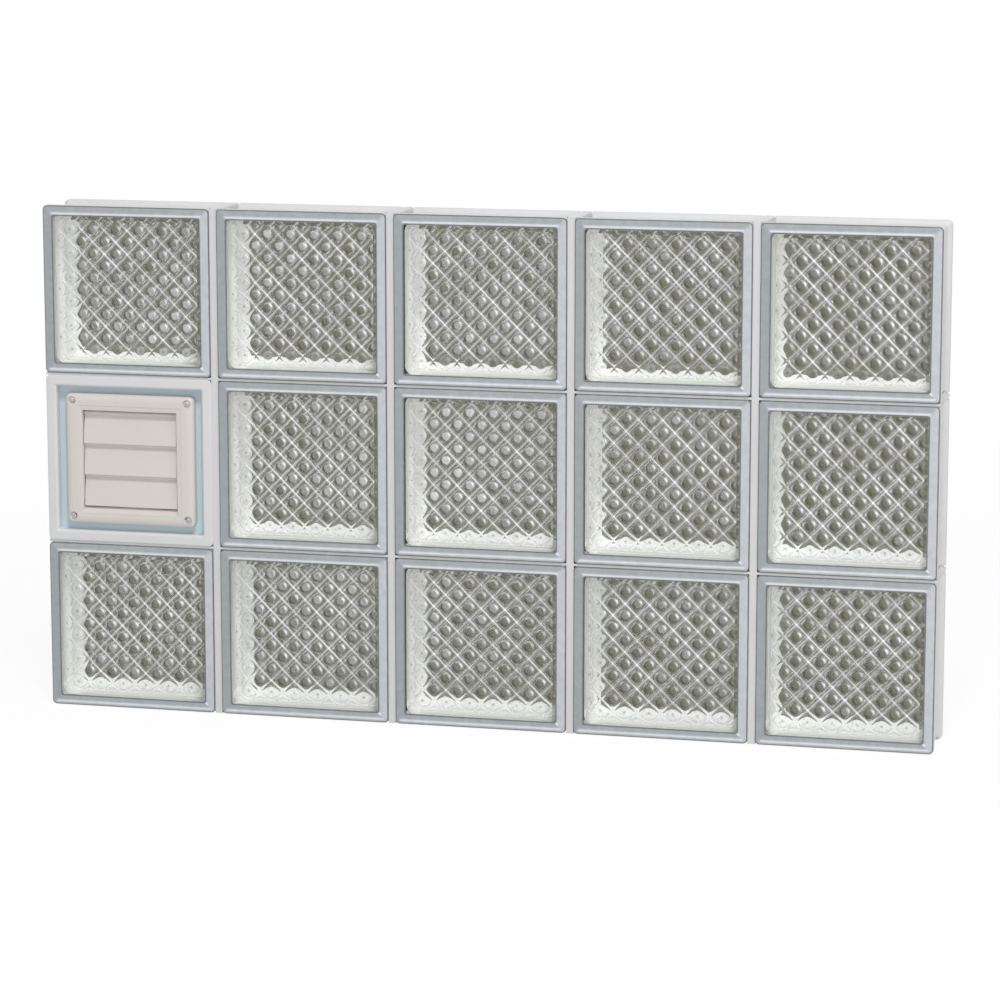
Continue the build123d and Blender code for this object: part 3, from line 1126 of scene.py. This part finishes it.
@dataclass
class VentCover:
    """The moulded cover: a bullnosed surround, a deep throat with a sloped sill, four screws.

    Depths are counted from the cover's front towards the indoor side.
    """

    half_width: float = 74.0 * MM
    half_height: float = 72.0 * MM
    corner: float = 6.0 * MM
    round_width: float = 8.0 * MM
    round_depth: float = 5.0 * MM
    round_steps: int = 10
    rise: float = 10.5 * MM
    shell: float = 2.4 * MM
    throat_x: float = 54.5 * MM
    throat_z: float = 54.0 * MM
    throat_wall: float = 3.0 * MM
    throat_end: float = 28.5 * MM
    sill_drop: float = 6.0 * MM
    sill_run: float = 5.5 * MM
    lip: float = 5.0 * MM
    lip_step: float = 0.5 * MM
    throat_corner: float = 0.6 * MM
    wall_corner: float = 1.2 * MM
    rim_corner: float = 2.0 * MM
    back_depth: float = 6.5 * MM
    back_slope: float = 7.0 * MM
    low_back_slope: float = 6.0 * MM
    back_corner: float = 1.5 * MM
    sill_wall_rise: float = 0.4 * MM
    corner_steps: int = 8
    screw_inset: float = 7.5 * MM
    pocket_radius: float = 4.7 * MM
    pocket_taper: float = 0.94 * MM
    pocket_depth: float = 2.6 * MM
    pocket_start: float = 1.0 * MM
    pocket_segments: int = 40
    head_radius: float = 2.8 * MM
    head_height: float = 1.6 * MM
    head_rings: int = 16
    head_segments: int = 48
    head_crease: float = 40.0
    dome_share: float = 0.55
    cross_reach: float = 1.9 * MM
    cross_width: float = 0.5 * MM
    cross_depth: float = 0.9 * MM
    cross_slope: float = 0.3 * MM
    louvres: int = 3
    pivot_depth: float = 8.0 * MM
    first_pivot: float = 50.6 * MM
    pivot_pitch: float = 34.7333 * MM
    hole_radius: float = 1.55 * MM
    hole_segments: int = 20
    overlap: float = 0.2 * MM
    lean: float = 8.0
    stop_size: tuple[float, float, float] = (3.2 * MM, 1.5 * MM, 16.0 * MM)
    stop_start: float = 12.0 * MM
    stop_gap: float = 1.1 * MM

    def rows(self) -> np.ndarray:
        """The cover's section, from the opening out to the edge, round the back and up the throat.

        The edge is a quarter ellipse, and the lip's corners widen from row to row.

        Returns:
            Rows of half the width, the height above the middle, the drop below it, the corner
            radius and the depth from the front.
        """
        x, z, sill = self.throat_x, self.throat_z, self.throat_z + self.sill_drop
        step, lip, bend = self.lip_step, self.lip, self.rim_corner
        opening = [
            [x, z, sill, 0.3 * bend, 2 * step],
            [x + 0.3 * step, z + 0.3 * step, sill + 0.2 * step, 0.35 * bend, 1.3 * step],
            [x + step, z + step, sill + 0.5 * step, 0.5 * bend, step],
            [x + lip, z + lip, sill + 0.6 * lip, bend, step],
            [x + lip + step, z + lip + step, sill + 0.7 * lip, 1.2 * bend, 0.0],
        ]
        turn = np.linspace(0, math.pi / 2, self.round_steps + 1)
        inset = self.round_width * (1 - np.sin(turn))
        high = self.half_height - inset
        edge = np.stack([
            self.half_width - inset, high, high, np.maximum(self.corner - inset, bend),
            self.round_depth * (1 - np.cos(turn)),
        ], -1)
        width, height, shell, rise = self.half_width, self.half_height, self.shell, self.rise
        inner_x, inner_z, inner_corner = width - shell, height - shell, self.corner - shell
        slope, low_slope, corner = self.back_slope, self.low_back_slope, self.wall_corner
        wall_x, wall_z = x + self.throat_wall, z + self.throat_wall
        back = [
            [width, height, height, self.corner, rise],
            [inner_x, inner_z, inner_z, inner_corner, rise],
            [inner_x, inner_z, inner_z, inner_corner, self.back_depth],
            [inner_x - slope, inner_z - slope, inner_z - low_slope, self.back_corner, shell],
            [wall_x, wall_z, sill + shell, corner, shell],
            [wall_x, wall_z, sill + shell, corner, rise - self.sill_wall_rise],
            [wall_x, wall_z, wall_z, corner, rise],
            [wall_x, wall_z, wall_z, corner, self.throat_end],
            [x, z, z, self.throat_corner, self.throat_end],
            [x, z, z, self.throat_corner, self.sill_run],
        ]
        return np.concatenate([opening, edge, back])

    def surround(self, centre: np.ndarray, finish: bpy.types.Material) -> bpy.types.Object:
        """Carry the section round the cover and cut the screw pockets and pivot holes.

        Args:
            centre: The middle of the cover's front.
            finish: The cover's material.

        Returns:
            The cover's object.
        """
        half_x, top, low, radius, depth = self.rows().T
        x, z = rounded_ring(half_x, (top + low) / 2, radius, self.corner_steps)
        z = z + ((top - low) / 2)[:, None]
        y = np.broadcast_to(depth[:, None], x.shape)
        points = (np.stack([x, y, z], -1) + centre).reshape(-1, 3)
        surface = Surface()
        surface.add(points, strip_quads(*x.shape, closed_rows=True))
        piece = surface.build("vent_cover_moulded", [finish])
        carve(piece, self.cutters(centre))
        finish_edges(piece)
        return piece

    def pivot_heights(self) -> list[float]:
        """Heights of the louvres' pivots above the cover's middle, from the top down."""
        return [self.first_pivot - number * self.pivot_pitch for number in range(self.louvres)]

    def screw_places(self, centre: np.ndarray) -> list[np.ndarray]:
        """The four screws' middles, at the level of the cover's front."""
        out = np.array([self.half_width, 0, self.half_height]) - [self.screw_inset, 0, self.screw_inset]
        return [centre + out * [side, 0, level] for side in (-1, 1) for level in (-1, 1)]

    def cutters(self, centre: np.ndarray) -> bpy.types.Object:
        """The tapered pockets and the three pivot holes, as one set of closed shells.

        Args:
            centre: The middle of the cover's front.

        Returns:
            The cutters' object.
        """
        surface = Surface()
        section = np.array([
            [self.pocket_radius + self.pocket_taper, -self.pocket_start],
            [self.pocket_radius - self.pocket_taper, self.pocket_depth],
        ])
        for place in self.screw_places(centre):
            surface.add(*turned(section, place, self.pocket_segments))
        reach = self.throat_x + self.throat_wall + self.overlap
        bar = np.array([[self.hole_radius, -reach], [self.hole_radius, reach]])
        points, faces = turned(bar, (0, 0, 0), self.hole_segments)
        across = np.stack([-points[:, 1], points[:, 0], points[:, 2]], -1)
        for height in self.pivot_heights():
            surface.add(across + centre + [0, self.pivot_depth, height], faces)
        return surface.build("cover_cutters", [])

    def screw(self, name: str, place: np.ndarray, finish: bpy.types.Material) -> bpy.types.Object:
        """Make one raised screw head with a cross recess.

        The top is a dome, whose height falls with the square of the radius. The cross is
        cut where the smaller of a point's two distances to the cross's lines is under its
        width, and where the radius is under its reach.

        Args:
            name: The screw's name.
            place: The middle of the head, at the level of the cover's front.
            finish: The screw's material.

        Returns:
            The screw's object.
        """
        rings, segments = self.head_rings, self.head_segments
        share = np.linspace(1, 1 / rings, rings)[:, None]
        angle = np.arange(segments) * 2 * math.pi / segments
        radius = share * self.head_radius
        x, z = radius * np.cos(angle), radius * np.sin(angle)
        along = np.stack([np.abs(x - z), np.abs(x + z)]).min(0) / math.sqrt(2)
        side = np.clip((self.cross_width - along) / self.cross_slope, 0, 1)
        cross = side * np.clip((self.cross_reach - radius) / self.cross_slope, 0, 1)
        rise = self.head_height * (1 - self.dome_share * share ** 2)
        y = self.pocket_depth - rise + self.cross_depth * cross
        foot = np.full((1, segments), self.pocket_depth)
        rim = self.head_radius * np.stack([np.cos(angle), np.sin(angle)])
        x, z = np.concatenate([x[::-1], rim[:1]]), np.concatenate([z[::-1], rim[1:]])
        y = np.concatenate([y[::-1], foot])
        surface = Surface()
        points = np.stack([x, y, z], -1).reshape(-1, 3)
        first = surface.add(points + place, strip_quads(*x.shape))
        ends = [np.arange(segments) + first, first + len(points) - 1 - np.arange(segments)]
        surface.add_faces(ends, smooth=False)
        piece = surface.build(name, [finish])
        finish_edges(piece, self.head_crease)
        return piece

    def stops(self, centre: np.ndarray, finish: bpy.types.Material) -> bpy.types.Object:
        """Make the ribs on the throat's walls that the closed louvres rest against.

        Each is a small block, turned about its louvre's pivot to the louvres' lean.

        Args:
            centre: The middle of the cover's front.
            finish: The cover's material.

        Returns:
            The ribs' object.
        """
        width, thickness, length = self.stop_size
        sign = np.array([[a, b, c] for a in (-1, 1) for b in (-1, 1) for c in (-1, 1)])
        corners = sign * np.array([width, thickness, length]) / 2
        corners[:, 1] += self.stop_gap + thickness / 2
        corners[:, 2] -= self.stop_start + length / 2
        angle = math.radians(self.lean)
        y = corners[:, 1] * math.cos(angle) + corners[:, 2] * math.sin(angle)
        z = corners[:, 2] * math.cos(angle) - corners[:, 1] * math.sin(angle)
        block = np.stack([corners[:, 0], y, z], -1)
        faces = [[0, 1, 3, 2], [4, 6, 7, 5], [0, 4, 5, 1], [2, 3, 7, 6], [0, 2, 6, 4], [1, 5, 7, 3]]
        surface = Surface()
        for height in self.pivot_heights():
            for side in (-1, 1):
                shift = [side * (self.throat_x - width / 2 + self.overlap), self.pivot_depth, height]
                surface.add(block + centre + shift, faces, smooth=False)
        return surface.build("louvre_stops", [finish])

    def build(self, beige: bpy.types.Material, steel: bpy.types.Material) -> None:
        """Build the cover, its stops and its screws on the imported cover's place.

        Args:
            beige: The cover's material.
            steel: The screws' material.
        """
        low, high = (np.array(corner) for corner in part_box("vent_cover"))
        centre = np.array([(low[0] + high[0]) / 2, low[1], (low[2] + high[2]) / 2])
        cover = self.surround(centre, beige)
        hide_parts("vent_cover")
        pieces = [(cover, "cover_plastic"), (self.stops(centre, beige), "cover_plastic")]
        for number, place in enumerate(self.screw_places(centre)):
            pieces.append((self.screw(f"cover_screw_{number + 1}", place, steel), "collar_metal"))
        for piece, slot in pieces:
            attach(piece, "window")
            LOG.info("%s: %d faces", piece.name, len(piece.data.polygons))


@dataclass
class Vent:
    """The dryer vent: a white frame and panels, and a beige cover with three louvres."""

    form: CellForm = field(default_factory=CellForm)
    cover: VentCover = field(default_factory=VentCover)
    rim: float = 11.5 * MM
    bevel: float = 2.0 * MM
    inner_corner: float = 2.0 * MM
    frame_finish: MouldedPlastic = MouldedPlastic(
        "white moulded vinyl", "#D8D8D8", "#CFCFD0", roughness=0.4
    )
    panel_finish: MouldedPlastic = MouldedPlastic(
        "pale blue grey vinyl", "#CBDDE6", "#C3D6E0", roughness=0.45
    )
    cover_finish: MouldedPlastic = MouldedPlastic(
        "beige moulded ABS", "#D6D0CA", "#CFC8C2", roughness=0.38
    )
    collar_finish: SheetMetal = SheetMetal("rolled aluminium sheet", "#C4C6C8")
    screw_finish: SheetMetal = SheetMetal("zinc plated steel", "#C8CACD", low=0.3, high=0.5, mark_mm=0.8)

    def frame(self, finish: bpy.types.Material) -> bpy.types.Object:
        """Build the frame: the cell's outer form with a bevelled bore right through it.

        Args:
            finish: The frame's material.

        Returns:
            The frame's object.
        """
        box = tuple(np.array(corner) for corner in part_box("vent_frame"))
        half_depth = (box[1][1] - box[0][1]) / 2
        inset, depth = self.form.profile(half_depth)
        mouth = np.array([self.rim, self.rim - self.bevel])
        inset = np.concatenate([mouth, inset, mouth[::-1]])
        level = half_depth - np.array([self.bevel, 0.0])
        depth = np.concatenate([-level, depth, level[::-1]])
        rings = self.form.rings(box, inset, depth, self.inner_corner)
        surface = Surface()
        surface.add(rings, strip_quads(*rings.shape[:2], closed_rows=True))
        piece = surface.build("vent_frame_moulded", [finish])
        finish_edges(piece)
        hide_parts("vent_frame")
        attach(piece, "window")
        return piece

    def build(self) -> None:
        """Build the frame and the cover, and dress the panels, the collar and the louvres."""
        white = self.frame_finish.material()
        beige = self.cover_finish.material()
        LOG.info("%s built", self.frame(white).name)
        self.cover.build(beige, self.screw_finish.material())
        dress_node("vent_front_panel", self.panel_finish.material())
        dress_node("vent_back_panel", white)
        dress_node("duct_collar", self.collar_finish.material())
        for node in ("louvre_top", "louvre_middle", "louvre_bottom"):
            dress_node(node, beige)
        LOG.info("vent dressed")


@dataclass(frozen=True)
class Lamp:
    """One soft square lamp: its name, place, width and power."""

    name: str
    place: tuple[float, float, float]
    size: float
    watts: float


@dataclass
class Studio:
    """A pale floor, a white world, soft lamps and the photograph's camera.

    Of the floor's light, the seen share is plain white near the window and the rest takes
    its shadow. From the near reach to the far one that share rises to all.
    """

    azimuth: float = 14.0
    elevation: float = 10.0
    distance: float = 4.0
    lens_mm: float = 133.14
    aim: tuple[float, float, float] = (0.0131, -0.0027, 0.2458)
    sensor_mm: float = 36.0
    far_clip: float = 50.0
    floor_half: float = 6.0
    floor_drop: float = 0.5 * MM
    floor_colour: str = "#FDFDFD"
    white: str = "#FFFFFF"
    near_reach: float = 0.7
    far_reach: float = 2.2
    seen_share: float = 0.9
    ambient: float = 0.48
    lamps: tuple[Lamp, ...] = (
        Lamp("key", (0.7, -2.2, 4.0), 0.6, 100.0),
        Lamp("fill", (3.2, -1.8, 1.2), 1.4, 20.0),
    )

    def seen(self, tree: bpy.types.NodeTree) -> bpy.types.NodeSocket:
        """Share of 1 for rays that show a background: to the camera, in gloss and through glass.

        Args:
            tree: The node tree of the world, or of the floor's material.

        Returns:
            The share.
        """
        path = add_node(tree, "ShaderNodeLightPath")
        either = add_node(tree, "ShaderNodeMath", {
            0: path.outputs["Is Camera Ray"], 1: path.outputs["Is Glossy Ray"],
        }, operation="MAXIMUM")
        return add_node(tree, "ShaderNodeMath", {
            0: either.outputs[0], 1: path.outputs["Is Transmission Ray"],
        }, operation="MAXIMUM").outputs[0]

    def world(self) -> None:
        """White where it is seen, and a plain even light where it only lights."""
        world = bpy.data.worlds.new("studio")
        bpy.context.scene.world = world
        world.use_nodes = True
        tree = world.node_tree
        tree.nodes.clear()
        strength = add_node(tree, "ShaderNodeMapRange", {
            "Value": self.seen(tree), "To Min": self.ambient, "To Max": 1.0,
        })
        light = add_node(tree, "ShaderNodeBackground", {
            "Color": linear(self.white), "Strength": strength.outputs["Result"],
        })
        add_node(tree, "ShaderNodeOutputWorld", {"Surface": light.outputs[0]})

    def floor(self) -> None:
        """A large pale floor that keeps a soft shadow under the window and is white further off."""
        half = self.floor_half
        surface = Surface()
        corners = np.array([[-half, -half, 0], [half, -half, 0], [half, half, 0], [-half, half, 0]])
        surface.add(corners - [0, 0, self.floor_drop], [[0, 1, 2, 3]], smooth=False)
        material, tree = new_material("pale studio floor")
        paint = add_node(tree, "ShaderNodeBsdfDiffuse", {"Color": linear(self.floor_colour)})
        white = add_node(tree, "ShaderNodeEmission", {"Color": linear(self.white), "Strength": 1.0})
        place = add_node(tree, "ShaderNodeTexCoord")
        reach = add_node(tree, "ShaderNodeVectorMath", {0: place.outputs["Object"]}, operation="LENGTH")
        white_share = add_node(tree, "ShaderNodeMapRange", {
            "Value": reach.outputs["Value"], "From Min": self.near_reach, "From Max": self.far_reach,
            "To Min": self.seen_share,
        }, interpolation_type="SMOOTHSTEP")
        share = add_node(tree, "ShaderNodeMath", {
            0: self.seen(tree), 1: white_share.outputs["Result"],
        }, operation="MULTIPLY")
        mixed = add_node(tree, "ShaderNodeMixShader", {
            0: share.outputs[0], 1: paint.outputs[0], 2: white.outputs[0],
        })
        add_node(tree, "ShaderNodeOutputMaterial", {"Surface": mixed.outputs[0]})
        surface.build("studio_floor", [material])

    def hang(self, lamp: Lamp) -> None:
        """Hang one lamp, turned to the window's middle.

        Args:
            lamp: The lamp.
        """
        light = bpy.data.lights.new(lamp.name, "AREA")
        light.size = lamp.size
        light.energy = lamp.watts
        hung = bpy.data.objects.new(lamp.name, light)
        bpy.context.scene.collection.objects.link(hung)
        self.look(hung, np.array(lamp.place), np.array([0, 0, self.aim[2]]))

    def look(self, thing: bpy.types.Object, place: np.ndarray, aim: np.ndarray) -> None:
        """Put a lamp or the camera at a place, turned to look at a point with its top upwards.

        It looks along its own -Z, so its Z is the direction back from the point. Its X is the
        upright crossed with its Z, and its Y is its Z crossed with its X.

        Args:
            thing: The lamp or the camera.
            place: Where it goes.
            aim: The point that it looks at.
        """
        back = (place - aim) / np.linalg.norm(place - aim)
        right = np.cross([0, 0, 1], back)
        right /= np.linalg.norm(right)
        matrix = np.eye(4)
        matrix[:3] = np.stack([right, np.cross(back, right), back, place], -1)
        thing.matrix_world = [list(row) for row in matrix.T]

    def camera(self) -> None:
        """The camera, at the photograph's direction, distance and framing."""
        turn, rise = math.radians(self.azimuth), math.radians(self.elevation)
        back = np.array([
            math.sin(turn) * math.cos(rise), -math.cos(turn) * math.cos(rise), math.sin(rise)
        ])
        data = bpy.data.cameras.new("camera")
        data.lens = self.lens_mm
        data.sensor_width = self.sensor_mm
        data.clip_end = self.far_clip
        camera = bpy.data.objects.new("camera", data)
        bpy.context.scene.collection.objects.link(camera)
        aim = np.array(self.aim)
        self.look(camera, aim + back * self.distance, aim)
        bpy.context.scene.camera = camera

    def build(self) -> None:
        """Set up the camera, the world, the floor and the lamps."""
        self.camera()
        self.world()
        self.floor()
        for lamp in self.lamps:
            self.hang(lamp)
        bpy.context.scene.view_settings.view_transform = "Standard"


def main() -> None:
    """Build the studio and the window's pieces in order."""
    logging.basicConfig(level=logging.INFO, format="%(message)s")
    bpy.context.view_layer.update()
    for part in (Studio(), GlassBlocks(), Seals(), Vent()):
        part.build()


if __name__ == "__main__":
    main()
